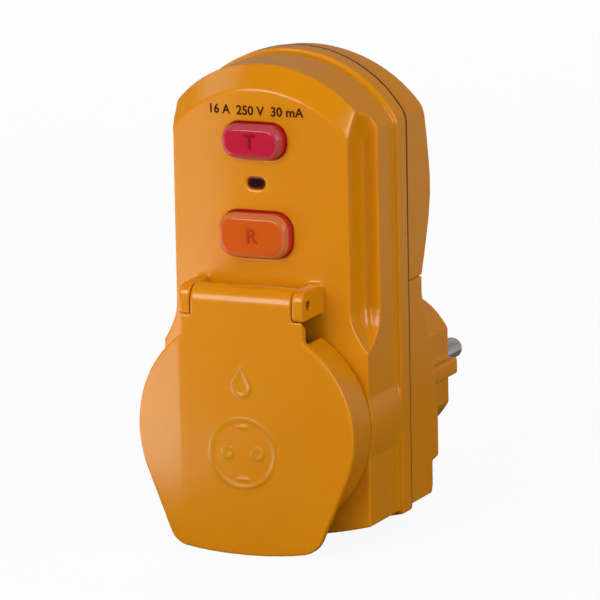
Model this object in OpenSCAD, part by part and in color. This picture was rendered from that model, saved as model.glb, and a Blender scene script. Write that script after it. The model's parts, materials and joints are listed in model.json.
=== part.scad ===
// Plug-in residual-current adapter: arched housing with test and reset keys, a lidded earthed socket in front
// and an earthed plug behind. Millimetres, +Z up. The origin is the centre of the plug's end face, -Y is the
// front. Modules are written from the front face (u = 0, counted backwards) on the socket's axis (z = 0).

/* [Plug] */
// Diameter of a plug pin
pin_d = 4.8; // [4.6:0.1:5]
// Free length of a plug pin
pin_len = 19; // [17:0.5:21]
// Distance between the two pins' axes
pin_pitch = 19; // [18:0.5:20]
// Diameter of the plug's round body
plug_d = 36.2; // [35:0.1:37]
// Distance across the plug's two side flats
plug_flat_w = 31.6; // [30.6:0.1:32.6]
// Height of the guide rail on each side flat
rail_h = 3.8; // [3:0.1:4.4]
// How far the plug reaches into a wall socket
plug_depth = 17.5; // [16.5:0.5:18.5]
// Diameter of the collar behind the plug
collar_d = 40; // [39:0.5:42]

/* [Socket] */
// Diameter of the socket well
well_d = 39; // [38.6:0.1:39.4]
// Depth of the socket well
well_depth = 17.5; // [16.5:0.5:18]
// Distance across the well's two side flats
well_flat_w = 32.6; // [32.2:0.1:33.2]
// Height of the guide groove in each side flat
groove_h = 4.8; // [4.6:0.1:5.4]
// Wall of the well's collar
well_wall = 2.5; // [2:0.1:2.6]
// How far the collar stands in front of the face
collar_proud = 6.3; // [5.6:0.1:6.4]
// Radial clearance of a contact sleeve round a pin
sleeve_gap = 0.05; // [0.03:0.01:0.08]

/* [Housing] */
// Distance from the front face to the plug's end face
face_to_plug = 71.2; // [70:0.2:74]
// Width of the housing
body_w = 50; // [49:0.2:51]
// Height of the housing's top above the socket's axis
body_top = 81.5; // [80:0.5:84]
// Depth of the housing's bottom below the socket's axis
body_drop = 25.4; // [25:0.2:27]
// Radius of the arched top
arch_r = 29; // [28.6:0.2:30]
// Radius of the round shoulders between the arch and the sides
shoulder_r = 5; // [4:0.5:6]
// Radius of the slightly bowed bottom
bottom_r = 110; // [90:5:140]
// Plan radius of the bowed front face
face_r = 95; // [85:5:120]
// Wall thickness
wall = 2; // [1.8:0.1:2.2]
// Height of the fascia's own arch above the socket's axis
fascia_top = 76.3; // [75:0.1:77]
// Radius of the fascia's own arch
fascia_r = 27.5; // [27:0.1:28.2]
// Depth of the bevel over the fascia
bevel_u = 4.1; // [3.5:0.1:4.6]
// Width of the fascia between the flutes
fascia_w = 42.7; // [42:0.1:43.5]
// Depth of the flutes behind the front face
flute_u = 10.8; // [10:0.1:11.4]
// Radius of the round corner at the bottom of the flutes
flute_r = 1.6; // [1.2:0.1:2.2]
// Height at which the flutes run out
flute_end = 17; // [16:0.5:18]
// Radius of the round swelling beside the socket
boss_r = 25.9; // [25.7:0.1:26.2]
// How far the rim stands proud of the sides
rim_proud = 0.9; // [0.6:0.1:1.2]
// Depth at which the rim starts
rim_u = 19.8; // [19:0.1:20.5]
// Depth of the seam between front and rear
seam_u = 25.2; // [24.8:0.1:25.6]
// Thickness of the seal in the seam
seam_t = 0.5; // [0.4:0.1:0.7]
// Depth of the rear cover at its top
cover_u = 32.4; // [32:0.1:33.5]
// Height of the rear cover's swelling
cover_swell = 8.3; // [7:0.1:9]
// Height of the middle of that swelling
swell_z = 50; // [48:0.5:52]
// Height of the line between rear cover and rear base
split_z = 29; // [28:0.5:30]
// Depth of the waist under that line
waist_u = 34.9; // [34.5:0.1:35.4]
// Depth of the rear base
base_u = 43; // [42:0.1:44]
// Depth of the rear base's foot
foot_u = 39.5; // [39:0.1:40]

/* [Lid] */
// Radius of the lid's disc
lid_r = 26.3; // [26:0.1:26.6]
// Distance of the lid's front from the front face
lid_front = 9.9; // [9.8:0.1:10.2]
// Thickness of the lid
lid_t = 2.2; // [2:0.1:2.3]
// Width of the lid's flat middle
lid_flat_w = 30.6; // [30:0.2:31.2]
// How far the lid's flanks lean back at the disc's edge
lid_lean = 1.5; // [1:0.1:1.7]
// How far the finger tab reaches below the socket's axis
tab_drop = 28; // [27.5:0.1:29]
// Width of the lid's neck
neck_w = 30; // [29:0.2:30]
// Width of the lid between the ears
knuckle_w = 24.6; // [24:0.1:24.8]
// Height of the hinge pin above the socket's axis
hinge_z = 29.4; // [29.2:0.1:29.8]
// Distance of the hinge pin from the front face
hinge_u = 6.1; // [6:0.05:6.2]
// Diameter of the hinge pin
hinge_d = 2.2; // [2:0.1:2.4]
// Thickness of a hinge ear
ear_t = 2.55; // [2.4:0.05:2.8]
// Side clearance between lid and ear
ear_gap = 0.2; // [0.2:0.05:0.3]

/* [Keys] */
// Width of the test key
test_w = 14.6; // [14:0.1:15.4]
// Height of the test key
test_h = 7.9; // [7.6:0.1:8.5]
// Corner radius of the test key
test_r = 3.5; // [3.2:0.1:3.7]
// Height of the test key above the socket's axis
test_z = 64.8; // [64.4:0.1:65.2]
// Travel of the test key
test_travel = 1.2; // [0.8:0.1:1.3]
// Width of the reset key
reset_w = 16.9; // [16.4:0.1:17.6]
// Height of the reset key
reset_h = 10.2; // [9.8:0.1:10.8]
// Corner radius of the reset key
reset_r = 3.9; // [3.6:0.1:4.2]
// Height of the reset key above the socket's axis
reset_z = 43.5; // [43:0.1:44]
// Travel of the reset key
reset_travel = 2; // [1.5:0.1:2.1]
// How far the keys stand out of the face
key_proud = 3.2; // [2.8:0.1:3.4]
// Clearance around a key
key_gap = 0.25; // [0.2:0.05:0.3]
// Width of the indicator window
window_w = 4.4; // [4:0.1:4.8]
// Height of the indicator window
window_h = 2.7; // [2.4:0.1:3]
// Height of the window above the socket's axis
window_z = 55.1; // [54.8:0.1:55.4]

/* [Inside] */
// Depth of the circuit board's front
board_u = 14; // [13.9:0.1:14.1]
// Thickness of the circuit board
board_t = 1.6; // [1.5:0.1:1.6]
// Outer diameter of the sensor core
core_d = 15; // [14:0.5:15]
// Radius of the trip plunger
plunger_r = 1.5; // [1.4:0.1:1.6]
// Travel of the trip plunger
plunger_travel = 1.5; // [1:0.1:1.6]
// Running clearance of the inner slides
slide_gap = 0.08; // [0.06:0.01:0.1]

/* [Hidden] */
$fn = 72;

orange = [0.86, 0.52, 0.08];
amber = [0.80, 0.30, 0.08];
red = [0.66, 0.05, 0.09];
steel = [0.70, 0.71, 0.72];
copper = [0.72, 0.42, 0.22];
brass_tone = [0.78, 0.62, 0.30];
black = [0.08, 0.08, 0.08];

half_w = body_w / 2;
arch_z = body_top - arch_r;
pin_r = pin_d / 2;
pin_x = pin_pitch / 2;
pin_root_r = pin_r + 0.3;
plug_r = plug_d / 2;
well_r = well_d / 2;
collar_r = well_r + well_wall;
well_front = -collar_proud;
well_floor = well_front + well_depth;
floor_t = 2.5;
insert_back = well_floor + floor_t;
flange_r = half_w - wall - 0.1;
plug_end = face_to_plug;
plug_root = plug_end - plug_depth;
rear_start = seam_u + seam_t;
face_in_r = face_r - wall;
lower_in_u = 5.5;
flange_u = lower_in_u;
upper_in_u = flute_u + wall;
lid_back = lid_front - lid_t;
skirt_room = lid_r - collar_r;
skirt_in = 0.37 * skirt_room;
skirt_taper = 0.16 * skirt_room;
lid_gap = 0.4;
ear_in = knuckle_w / 2 + ear_gap;
ear_out = ear_in + ear_t;
knuckle_r = lid_front - hinge_u;
hinge_r = hinge_d / 2;
ear_front = lid_front - 0.05;
ear_bottom = hinge_z - 3.2;
ear_top = hinge_z + 3.65;
board_back = board_u + board_t;
screw_x = half_w - 5;
screw_top_z = body_top - 19.5;
screw_low_z = 5.9 - body_drop;
post_r = 2.8;
post_x = fascia_w / 2 - 6.35;
post_low_z = 30;
post_top_z = body_top - 14.5;
sleeve_in = pin_r + sleeve_gap;
sleeve_out = sleeve_in + 0.85;
sleeve_front = insert_back + 0.2;
sleeve_back = sleeve_front + 15;
flag_u = 11.6;
carriage_u = 17;
carriage_t = 4;
strip_u = 26;
contact_x = pin_x + 1;
coil_u = 22.6;
yoke_w = 12;
yoke_t = 1;
yoke_z = 50;
yoke_h = 16;
plunger_top = yoke_z + 10.2;
board_part_x = (yoke_w / 2 + screw_x - post_r) / 2;
mark_t = 0.2;

// Depth of the bowed front face at a distance from the middle
function bow(x) = face_r - sqrt(face_r * face_r - x * x);
// Height of an arch of radius r with its top at z
function arch(x, z, r) = z - r + sqrt(max(0, r * r - x * x));
// Points of an arc in a plane
function arc(cx, cy, r, a0, a1, n) = [for (i = [0:n]) let (a = a0 + (a1 - a0) * i / n) [cx + r * cos(a), cy + r * sin(a)]];
// Depth of the rear cover's back at a height
function cover_back(z) =
    let (up = min(1, max(0, z - swell_z) / (body_top - swell_z)))
    let (down = min(1, max(0, swell_z - z) / 33.5))
    cover_u + cover_swell * pow(1 - pow(up, 1.25), 0.75) * (0.5 + 0.5 * cos(180 * down));
// Depth of the rear base's back at a height
function base_back(z) = base_u - (base_u - waist_u) * pow(max(0, z + 4) / 28.5, 1.35);

module placed() translate([0, -face_to_plug, 0]) children();

// A cylinder from depth u0 to depth u1
module rod(r, u0, u1, x = 0, z = 0) translate([x, u0, z]) rotate([-90, 0, 0]) cylinder(r = r, h = u1 - u0);

// A cylinder across the housing from x0 to x1
module bar(r, x0, x1, u, z) translate([x0, u, z]) rotate([0, 90, 0]) cylinder(r = r, h = x1 - x0);

module slab(x0, x1, u0, u1, z0, z1) translate([x0, u0, z0]) cube([x1 - x0, u1 - u0, z1 - z0]);

// A side outline of depth and height points, drawn from x0 to x1
module side_prism(points, x0, x1) translate([x0, 0, 0]) rotate([90, 0, 90]) linear_extrude(x1 - x0) polygon(points);

// A plan outline of width and depth points, drawn from z0 to z1
module plan_prism(points, z0, z1) translate([0, 0, z0]) linear_extrude(z1 - z0) polygon(points);

// A front outline of width and height points, drawn from depth u0 to u1
module front_prism(points, u0, u1) translate([0, u1, 0]) rotate([90, 0, 0]) linear_extrude(u1 - u0) polygon(points);

// A block with four round edges along the depth
module rounded_block(w, h, r, u0, u1, z) {
    slab(-w / 2 + r, w / 2 - r, u0, u1, z - h / 2, z + h / 2);
    slab(-w / 2, w / 2, u0, u1, z - h / 2 + r, z + h / 2 - r);
    for (sx = [-1, 1])
        for (sz = [-1, 1])
            rod(r, u0, u1, sx * (w / 2 - r), z + sz * (h / 2 - r));
}

// The housing's front outline, larger by d, from depth u0 to u1, with round shoulders of radius r
module body_prism(u0, u1, d = 0, r = shoulder_r) {
    cx = half_w - r;
    cz = sqrt(pow(arch_r - r, 2) - cx * cx);
    intersection() {
        rod(bottom_r + d, u0, u1, 0, bottom_r - body_drop);
        union() {
            slab(-half_w - d, half_w + d, u0, u1, -60, arch_z + cz);
            intersection() {
                rod(arch_r + d, u0, u1, 0, arch_z);
                front_prism([[0, arch_z], [3 * cx, arch_z + 3 * cz], [3 * cx, 200], [-3 * cx, 200],
                             [-3 * cx, arch_z + 3 * cz]], u0, u1);
            }
            for (sx = [-1, 1])
                rod(r + d, u0, u1, sx * cx, arch_z + cz);
        }
    }
}

// Everything behind the bowed front face, or behind it by d
module behind_face(d = 0) translate([0, face_r, -60]) cylinder(r = face_r - d, h = 180, $fn = 180);

// The wedge over the fascia's bevel
module bevel_wedge() {
    stations = [for (i = [-54:54]) (half_w + 1.3) * i / 54];
    rings = [for (x = stations)
        let (a = [bow(x), arch(x, fascia_top, fascia_r)])
        let (b = [bevel_u + 0.8 * bow(x), arch(x, body_top, arch_r)])
        let (a2 = a - 0.25 * (b - a))
        let (b2 = b + 0.03 * (b - a))
        [[x, a2[0], a2[1]], [x, b2[0], b2[1]], [x, b2[0], 99], [x, -9, 99], [x, -9, a2[1]]]];
    n = len(stations);
    points = [for (ring = rings) for (p = ring) p];
    sides = [for (i = [0:n - 2]) for (k = [0:4])
        [5 * i + k, 5 * i + (k + 1) % 5, 5 * (i + 1) + (k + 1) % 5, 5 * (i + 1) + k]];
    triangles = [for (q = sides) each [[q[0], q[2], q[1]], [q[0], q[3], q[2]]]];
    first = [[0, 1, 2], [0, 2, 3], [0, 3, 4]];
    last = [for (t = first) [5 * (n - 1) + t[0], 5 * (n - 1) + t[2], 5 * (n - 1) + t[1]]];
    polyhedron(points, concat(triangles, first, last));
}

// The right flute: a round-cornered bar that runs out at its lower end and slants at its upper end
module flute() {
    x0 = fascia_w / 2;
    top = body_top - 17 - flute_end;
    run = [[top, 0, 0], [9.2, 0, 0], [7.2, 0.25, 0.35], [5.2, 0.85, 1.1], [3.4, 1.7, 2.4], [1.6, 2.7, 4.5], [0, 3.85, 7.4]];
    slant = [[40, -9], [x0 + 0.7, -9], [x0 + 0.7, flute_u - 6], [half_w + 0.35, flute_u], [40, flute_u]];
    hull() {
        for (s = run) {
            xs = x0 + s[1];
            us = flute_u - s[2];
            rs = flute_r * (1 - s[2] / 9);
            plan_prism(concat([[40, -9], [xs, -9]], arc(xs + rs, us - rs, rs, 180, 90, 8), [[40, us]]),
                       flute_end + s[0], flute_end + s[0] + 0.02);
        }
        plan_prism(slant, body_top - 7, body_top - 6.5);
    }
}

module ear(side) {
    corner = 2.4;
    points = concat([[3, ear_bottom]],
                    arc(-ear_front + 0.9, ear_bottom + 0.9, 0.9, 270, 180, 4),
                    arc(-ear_front + corner, ear_top - corner, corner, 180, 90, 8),
                    [[3, ear_top]]);
    side_prism(points, side > 0 ? ear_in : -ear_out, side > 0 ? ear_out : -ear_in);
}

module front_shell() color(orange) placed() {
    difference() {
        union() {
            difference() {
                union() {
                    intersection() {
                        body_prism(-1, seam_u, 0, 1.5);
                        behind_face();
                    }
                    intersection() {
                        rod(boss_r, 1, rim_u + 1);
                        behind_face();
                    }
                }
                bevel_wedge();
                flute();
                mirror([1, 0, 0]) flute();
            }
            body_prism(rim_u, seam_u, rim_proud);
            ear(1);
            ear(-1);
        }
        // hollow behind the fascia
        intersection() {
            behind_face(wall);
            union() {
                rod(fascia_r - wall, -1, upper_in_u + 0.1, 0, fascia_top - fascia_r);
                slab(-40, 40, -1, upper_in_u + 0.1, 19, fascia_top - fascia_r);
            }
            slab(-fascia_w / 2 + wall, fascia_w / 2 - wall, -1, upper_in_u + 0.1, 19, 90);
            body_prism(-1, upper_in_u + 0.1, -wall);
        }
        // hollow behind the socket's wall and of the rim
        intersection() {
            body_prism(lower_in_u, seam_u + 1, -wall);
            union() {
                slab(-40, 40, upper_in_u, seam_u + 1, -60, 120);
                slab(-40, 40, lower_in_u, seam_u + 1, -60, 19);
            }
        }
        rod(collar_r + 0.15, -2, lower_in_u + 1);
        rounded_block(test_w + 2 * key_gap, test_h + 2 * key_gap, test_r + key_gap, -2, 5, test_z);
        rounded_block(reset_w + 2 * key_gap, reset_h + 2 * key_gap, reset_r + key_gap, -2, 5, reset_z);
        rounded_block(window_w + 0.1, window_h + 0.1, window_h / 2, -2, 5, window_z);
        bar(hinge_r + 0.02, -ear_out + 0.9, ear_out + 1, -hinge_u, hinge_z);
    }
    // screw posts, board posts and flag bearings
    for (sx = [-1, 1]) {
        difference() {
            union() {
                intersection() {
                    rod(post_r, upper_in_u - 0.5, seam_u, sx * screw_x, screw_top_z);
                    body_prism(0, seam_u, -1);
                }
                intersection() {
                    rod(post_r, lower_in_u - 0.5, seam_u, sx * screw_x, screw_low_z);
                    body_prism(0, seam_u, -1);
                }
            }
            rod(1.32, 14.5, seam_u + 1, sx * screw_x, screw_top_z);
            rod(1.32, 14.5, seam_u + 1, sx * screw_x, screw_low_z);
        }
        difference() {
            union() {
                rod(2.2, 2.6, board_u, sx * post_x, post_low_z);
                rod(2.2, 2.6, board_u, sx * post_x, post_top_z);
            }
            rod(0.95, 8, board_u + 1, sx * post_x, post_low_z);
            rod(0.95, 8, board_u + 1, sx * post_x, post_top_z);
        }
        difference() {
            slab(sx > 0 ? 3.9 : -5.1, sx > 0 ? 5.1 : -3.9, 1.6, flag_u + 1.9, window_z - 1.9, window_z + 1.9);
            bar(0.8 + slide_gap / 2, sx > 0 ? 3 : -6, sx > 0 ? 6 : -3, flag_u, window_z);
        }
    }
}

// Side outline of the rear base
function base_outline(d) = concat(
    [[rear_start - 5, split_z - 0.03], [waist_u - d, split_z - 0.03]],
    [for (i = [0:16]) let (z = 24.5 - 28.5 * i / 16) [base_back(z) - d, z]],
    [[base_u - d, 11.2 - body_drop + d], [base_u - 0.7 - d, 10.5 - body_drop + d], [foot_u - d, 10.2 - body_drop + d]],
    arc(foot_u - 3.2 - d, 5 - body_drop + d, 3.2, 0, -60, 6),
    [[rear_start - 5, -1.6 - body_drop + d]]);

module plug_shape(r, flat_w, rail, u0, u1) {
    intersection() {
        rod(r, u0, u1);
        union() {
            slab(-flat_w / 2, flat_w / 2, u0, u1, -40, 40);
            slab(-40, 40, u0, u1, -rail / 2, rail / 2);
        }
    }
}

module rear_base() color(orange) placed() {
    difference() {
        union() {
            intersection() {
                body_prism(rear_start, 60);
                side_prism(base_outline(0), -40, 40);
            }
            rod(collar_d / 2, base_u - 6, plug_root);
            plug_shape(plug_r, plug_flat_w, rail_h, plug_root - 1, plug_end);
        }
        difference() {
            intersection() {
                body_prism(rear_start - 1, 60, -wall);
                side_prism(base_outline(wall), -40, 40);
            }
            // posts round the two lower screws
            for (sx = [-1, 1])
                rod(4.6, rear_start - 2, 60, sx * screw_x, screw_low_z);
        }
        slab(-half_w + wall, half_w - wall, rear_start - 1, waist_u - wall, split_z - 6, split_z + 1);
        // hollow of the plug
        rod(14, base_u - 10, plug_end - 11);
        for (sx = [-1, 1]) {
            rod(pin_root_r + 0.02, plug_end - 20, plug_end + 1, sx * pin_x);
            rod(3.1, rear_start + 2.5, 60, sx * screw_x, screw_low_z);
            rod(1.7, rear_start - 1, 60, sx * screw_x, screw_low_z);
        }
        // seats and slots of the earth strips
        for (sz = [-1, 1]) {
            slab(-3, 3, plug_root + 0.3, plug_end - 1.4, sz > 0 ? plug_r - 1.3 : -30, sz > 0 ? 30 : -plug_r + 1.3);
            slab(-2.7, 2.7, plug_root + 2.9, plug_root + 4.3, sz > 0 ? 10 : -plug_r + 1.1, sz > 0 ? plug_r - 1.1 : -10);
        }
    }
}

module rear_cover() color(orange) placed() {
    outer = concat([[rear_start, split_z + 0.03]],
                   [for (i = [0:40]) let (z = split_z + 0.03 + (body_top + 2 - split_z) * i / 40) [cover_back(z), z]],
                   [[rear_start, body_top + 2.1]]);
    inner = [for (p = outer) [p[0] > rear_start ? p[0] - wall : p[0] - 1, p[1] - (p[1] > split_z + 1 ? 0 : 1)]];
    difference() {
        intersection() {
            body_prism(rear_start, 60);
            side_prism(outer, -40, 40);
        }
        difference() {
            intersection() {
                body_prism(rear_start - 1, 60, -wall);
                side_prism(inner, -40, 40);
            }
            for (sx = [-1, 1])
                rod(4.6, rear_start - 2, 60, sx * screw_x, screw_top_z);
        }
        for (sx = [-1, 1]) {
            rod(3.1, rear_start + 2.5, 60, sx * screw_x, screw_top_z);
            rod(1.7, rear_start - 1, 60, sx * screw_x, screw_top_z);
        }
    }
}

module shell_gasket() color(black) placed() {
    difference() {
        body_prism(seam_u, rear_start, -0.15);
        body_prism(seam_u - 1, rear_start + 1, -wall + 0.2);
    }
}

module housing_screws() color(steel) placed() {
    for (sx = [-1, 1])
        for (z = [screw_top_z, screw_low_z])
            difference() {
                union() {
                    rod(2.8, rear_start + 2.5, rear_start + 4.7, sx * screw_x, z);
                    rod(1.3, 16, rear_start + 3, sx * screw_x, z);
                }
                for (a = [0, 90])
                    translate([sx * screw_x, rear_start + 3.6, z]) rotate([0, a, 0])
                        translate([-1.7, 0, -0.4]) cube([3.4, 3, 0.8]);
            }
}

module socket_insert() color([0.12, 0.12, 0.13]) placed() {
    difference() {
        union() {
            rod(collar_r, well_front, flange_u + 1);
            intersection() {
                union() {
                    rod(flange_r, flange_u, flange_u + 2.4);
                    rod(collar_r - 0.5, flange_u + 1, insert_back);
                }
                body_prism(flange_u, insert_back, -wall - 0.1);
            }
        }
        plug_shape(well_r, well_flat_w, groove_h, well_front - 1, well_floor);
        for (sx = [-1, 1])
            rod(pin_r + 0.6, well_floor - 1, insert_back + 1, sx * pin_x);
        // slots of the earth clips
        for (s = [0, 1])
            mirror([0, 0, s]) slab(-3.2, 3.2, well_floor - 1, insert_back + 1, well_r - 1.9, well_r - 0.3);
    }
}

// Two tubes on a web behind the well's floor, which hold the contact sleeves
module contact_holder() color([0.12, 0.12, 0.13]) placed() {
    difference() {
        union() {
            for (sx = [-1, 1])
                rod(sleeve_out + 1.6, insert_back, sleeve_front + 8, sx * pin_x);
            slab(-pin_x, pin_x, insert_back + 1.5, insert_back + 5, -3, 3);
        }
        for (sx = [-1, 1])
            rod(sleeve_out + 0.05, insert_back - 1, sleeve_front + 9, sx * pin_x);
    }
}

module contact_sleeve(side) {
    difference() {
        rod(sleeve_out, sleeve_front, sleeve_back, side * pin_x);
        rod(sleeve_in, sleeve_front - 1, sleeve_back + 1, side * pin_x);
        slab(side * pin_x - 0.5, side * pin_x + 0.5, sleeve_front - 1, sleeve_back - 3, -9, 0);
    }
}

module contact_line() color(brass_tone) placed() contact_sleeve(1);
module contact_neutral() color(brass_tone) placed() contact_sleeve(-1);

module earth_bracket() color(brass_tone) placed() {
    top = well_r - 0.5;
    slab(-3, 3, insert_back + 0.1, insert_back + 1.1, -top, top);
    clip = [[insert_back + 0.6 - well_front, -0.9], [12.3, -0.9], [9.5, -1.8], [7.5, -1.8], [4.7, -0.9], [2.9, -0.9],
            [2.9, 0], [4.9, 0], [7.7, -0.9], [9.3, -0.9], [12.1, 0], [insert_back + 0.6 - well_front, 0]];
    for (s = [0, 1])
        mirror([0, 0, s]) side_prism([for (p = clip) [well_front + p[0], top + p[1]]], -3, 3);
}

module plug_pin(side) {
    tip = plug_end + pin_len;
    dome_r = pin_r + 0.2;
    difference() {
        union() {
            intersection() {
                rod(pin_r, plug_end - 1, tip, side * pin_x);
                union() {
                    rod(pin_r + 1, plug_end - 2, tip - dome_r, side * pin_x);
                    translate([side * pin_x, tip - dome_r, 0]) sphere(r = dome_r);
                }
            }
            rod(pin_root_r, plug_end - 12, plug_end, side * pin_x);
            rod(pin_root_r + 0.7, plug_end - 14, plug_end - 11.05, side * pin_x);
        }
        rod(1.3, plug_end - 15, plug_end - 11.4, side * pin_x);
    }
}

module plug_pin_line() color(steel) placed() plug_pin(1);
module plug_pin_neutral() color(steel) placed() plug_pin(-1);

module plug_earth_strip() color(steel) placed() {
    for (s = [0, 1])
        mirror([0, 0, s])
            slab(-2.5, 2.5, plug_root + 0.6, plug_end - 1.8, plug_r - 1.3, plug_r - 0.3);
    slab(-2.5, 2.5, plug_root + 3.1, plug_root + 4.1, -plug_r + 0.8, plug_r - 0.8);
}

module earth_link() color(brass_tone) placed() {
    b = insert_back + 1.1;
    e = plug_root + 3.1;
    side_prism([[b, -12], [b + 1, -12], [b + 1, -8], [e - 1, -8], [e - 1, -12], [e, -12], [e, -7], [b, -7]], -2, 2);
}

// Front outline of the finger tab below the lid's disc
function tab_outline() =
    let (right = concat([[24.1, -10.5]], arc(13.6, -tab_drop + 6.4, 5.3, -23.6, -81.5, 8)))
    let (low = [for (x = [11.5, 8, 4, 0]) [x, -tab_drop + x * x / 190]])
    let (half = concat(right, low))
    concat(half, [for (i = [len(half) - 2:-1:0]) [-half[i][0], half[i][1]]]);

// Plan outline of the lid's plate between two distances from the front face
function lid_plan(front, back) =
    let (e = 27)
    let (k = lid_lean * (e - lid_flat_w / 2) / (lid_r - lid_flat_w / 2))
    [[-e, -front + k], [-lid_flat_w / 2, -front], [lid_flat_w / 2, -front], [e, -front + k],
     [e, -back + k], [lid_flat_w / 2, -back], [-lid_flat_w / 2, -back], [-e, -back + k]];

module lid_plate() {
    intersection() {
        plan_prism(lid_plan(lid_front, lid_back), -40, 40);
        union() {
            rod(lid_r, -20, 4);
            front_prism(tab_outline(), -20, 4);
            difference() {
                slab(-neck_w / 2, neck_w / 2, -20, 4, 0, ear_bottom + 0.2);
                for (sx = [0, 1])
                    mirror([sx, 0, 0]) bar(4.85, knuckle_w / 2, 20, -hinge_u, hinge_z);
            }
            slab(-knuckle_w / 2, knuckle_w / 2, -20, 4, 0, hinge_z);
        }
    }
}

// Outline of a drop with a round belly of radius r at height z and its tip at height top
function drop_outline(z, r, top) =
    let (a = 90 - acos(r / (top - z)))
    concat([[0, top]], arc(0, z, r, a, -180 - a, 20));

// Raised lines on the lid: a drop, and below it a socket seen from the front
module lid_marks() {
    u0 = -lid_front - mark_t;
    u1 = -lid_front + 0.4;
    line = 0.5;
    face_z = -4.5;
    difference() {
        front_prism(drop_outline(10.6, 2.2, 15.6), u0, u1);
        front_prism(drop_outline(10.6, 2.2 - line, 14.4), u0 - 1, u1 + 1);
    }
    difference() {
        rod(8, u0, u1, 0, face_z);
        rod(8 - line, u0 - 1, u1 + 1, 0, face_z);
    }
    for (s = [-1, 1]) {
        difference() {
            rod(1.3, u0, u1, 3.7 * s, face_z);
            rod(1.3 - line, u0 - 1, u1 + 1, 3.7 * s, face_z);
        }
        slab(-1.4, 1.4, u0, u1, face_z + 6 * s - line / 2, face_z + 6 * s + line / 2);
    }
}

module socket_lid() color(orange) placed() {
    difference() {
        union() {
            lid_plate();
            // skirt round the disc, open towards the hinge
            difference() {
                intersection() {
                    translate([0, -lid_front + 1, 0]) rotate([-90, 0, 0]) cylinder(r1 = lid_r, r2 = lid_r - skirt_taper, h = 15);
                    plan_prism(lid_plan(lid_front, -9), -40, 21);
                }
                translate([0, -lid_front, 0]) rotate([-90, 0, 0])
                    cylinder(r1 = lid_r - skirt_in, r2 = lid_r - skirt_in - skirt_taper, h = 20);
                behind_face(-lid_gap);
                slab(-neck_w / 2 + 0.4, neck_w / 2 - 0.4, -lid_back, 20, 0, 40);
            }
            bar(knuckle_r, -knuckle_w / 2, knuckle_w / 2, -hinge_u, hinge_z);
            lid_marks();
        }
        bar(hinge_r + 0.05, -40, 40, -hinge_u, hinge_z);
        // room for the closing spring
        bar(3, -5.2, 5.2, -hinge_u, hinge_z);
        slab(-5.2, 5.2, -lid_back, 6, hinge_z - 6, hinge_z + 0.5);
    }
}

module lid_gasket() color(black) placed() {
    difference() {
        rod(collar_r - 0.4, -lid_back - 1, well_front - 0.3);
        rod(collar_r - 2.1, -lid_back - 2, 0);
        plan_prism(lid_plan(lid_front + 5, lid_back), -40, 40);
    }
}

module hinge_pin() color(steel) placed() bar(hinge_r, -ear_out + 1, ear_out - 0.9, -hinge_u, hinge_z);

// A tube of radius r along a path; aside is a direction that the path never runs along, or one for each point
module tube(path, r, aside, sides = 6) {
    n = len(path);
    rings = [for (i = [0:n - 1])
        let (d = path[min(i + 1, n - 1)] - path[max(i - 1, 0)])
        let (t = d / norm(d))
        let (c = cross(t, is_list(aside[0]) ? aside[i] : aside))
        let (a = c / norm(c))
        let (b = cross(t, a))
        [for (k = [0:sides - 1]) path[i] + r * cos(360 * k / sides) * a + r * sin(360 * k / sides) * b]];
    points = [for (ring = rings) for (p = ring) p];
    walls = [for (i = [0:n - 2]) for (k = [0:sides - 1])
        let (k2 = (k + 1) % sides)
        each [[i * sides + k, (i + 1) * sides + k2, i * sides + k2], [i * sides + k, (i + 1) * sides + k, (i + 1) * sides + k2]]];
    caps = [for (k = [1:sides - 2]) each [[0, k, k + 1], [(n - 1) * sides, (n - 1) * sides + k + 1, (n - 1) * sides + k]]];
    polyhedron(points, concat(walls, caps));
}

// Points of a coil along the depth
function coil(r, u0, u1, turns, x, z) = [for (i = [0:turns * 10])
    let (a = 36 * i) [x + r * cos(a), u0 + (u1 - u0) * i / (turns * 10), z + r * sin(a)]];

module depth_spring(r, wire, u0, u1, turns, x, z)
    tube(coil(r, u0 + wire + 0.05, u1 - wire - 0.05, turns, x, z), wire, [0, 1, 0]);

module lid_spring() color(steel) placed() {
    wire = 0.3;
    r = 2.3;
    turns = 7;
    steps = 10 * turns - 2.5;
    body = [for (i = [0:0.5:steps])
        if (i == floor(i) || i == steps)
            let (a = 180 + 36 * i) [-4 + 8 * i / steps, -hinge_u + r * sin(a), hinge_z + r * cos(a)]];
    path = concat([[-4, -wire - 0.1, hinge_z - r], [-4, -hinge_u + 1, hinge_z - r]], body,
                  [[4, -hinge_u + r, hinge_z - 1.6], [4, -hinge_u + r - 0.6, hinge_z - 2.6],
                   [4, -lid_back + wire + 0.05, hinge_z - 5.4]]);
    tube(path, wire, [1, 0, 0]);
}

// A key's core: face block, flange behind the fascia and stem
module key_core(w, h, r, z) {
    rounded_block(w - 2.4, h - 2.4, r - 1.1, -key_proud + 0.9, 2.9, z);
    rounded_block(w + 1.4, h + 1.4, r, 2.9, 4.1, z);
}

// A key's translucent cap with a sloping edge
module key_cap(w, h, r, z) {
    difference() {
        union() {
            rounded_block(w, h, r, -key_proud + 1.5, 2.85, z);
            hull() {
                rounded_block(w, h, r, -key_proud + 1.5, -key_proud + 1.6, z);
                rounded_block(w - 1, h - 1, r - 0.5, -key_proud + 0.45, -key_proud + 0.6, z);
                rounded_block(w - 2.6, h - 2.6, r - 1.3, -key_proud, -key_proud + 0.1, z);
            }
        }
        rounded_block(w - 2.3, h - 2.3, r - 1.05, -key_proud + 0.85, 4, z);
    }
}

module test_key() color(red) placed() {
    key_core(test_w, test_h, test_r, test_z);
    rod(1.9, 4, 10.4 - 0.2 - test_travel, 0, test_z);
}

module test_cap() color([0.75, 0.12, 0.14, 0.6]) placed() key_cap(test_w, test_h, test_r, test_z);

module test_spring() color(steel) placed() depth_spring(3.4, 0.25, 4.1, board_u, 6, 0, test_z);

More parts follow.
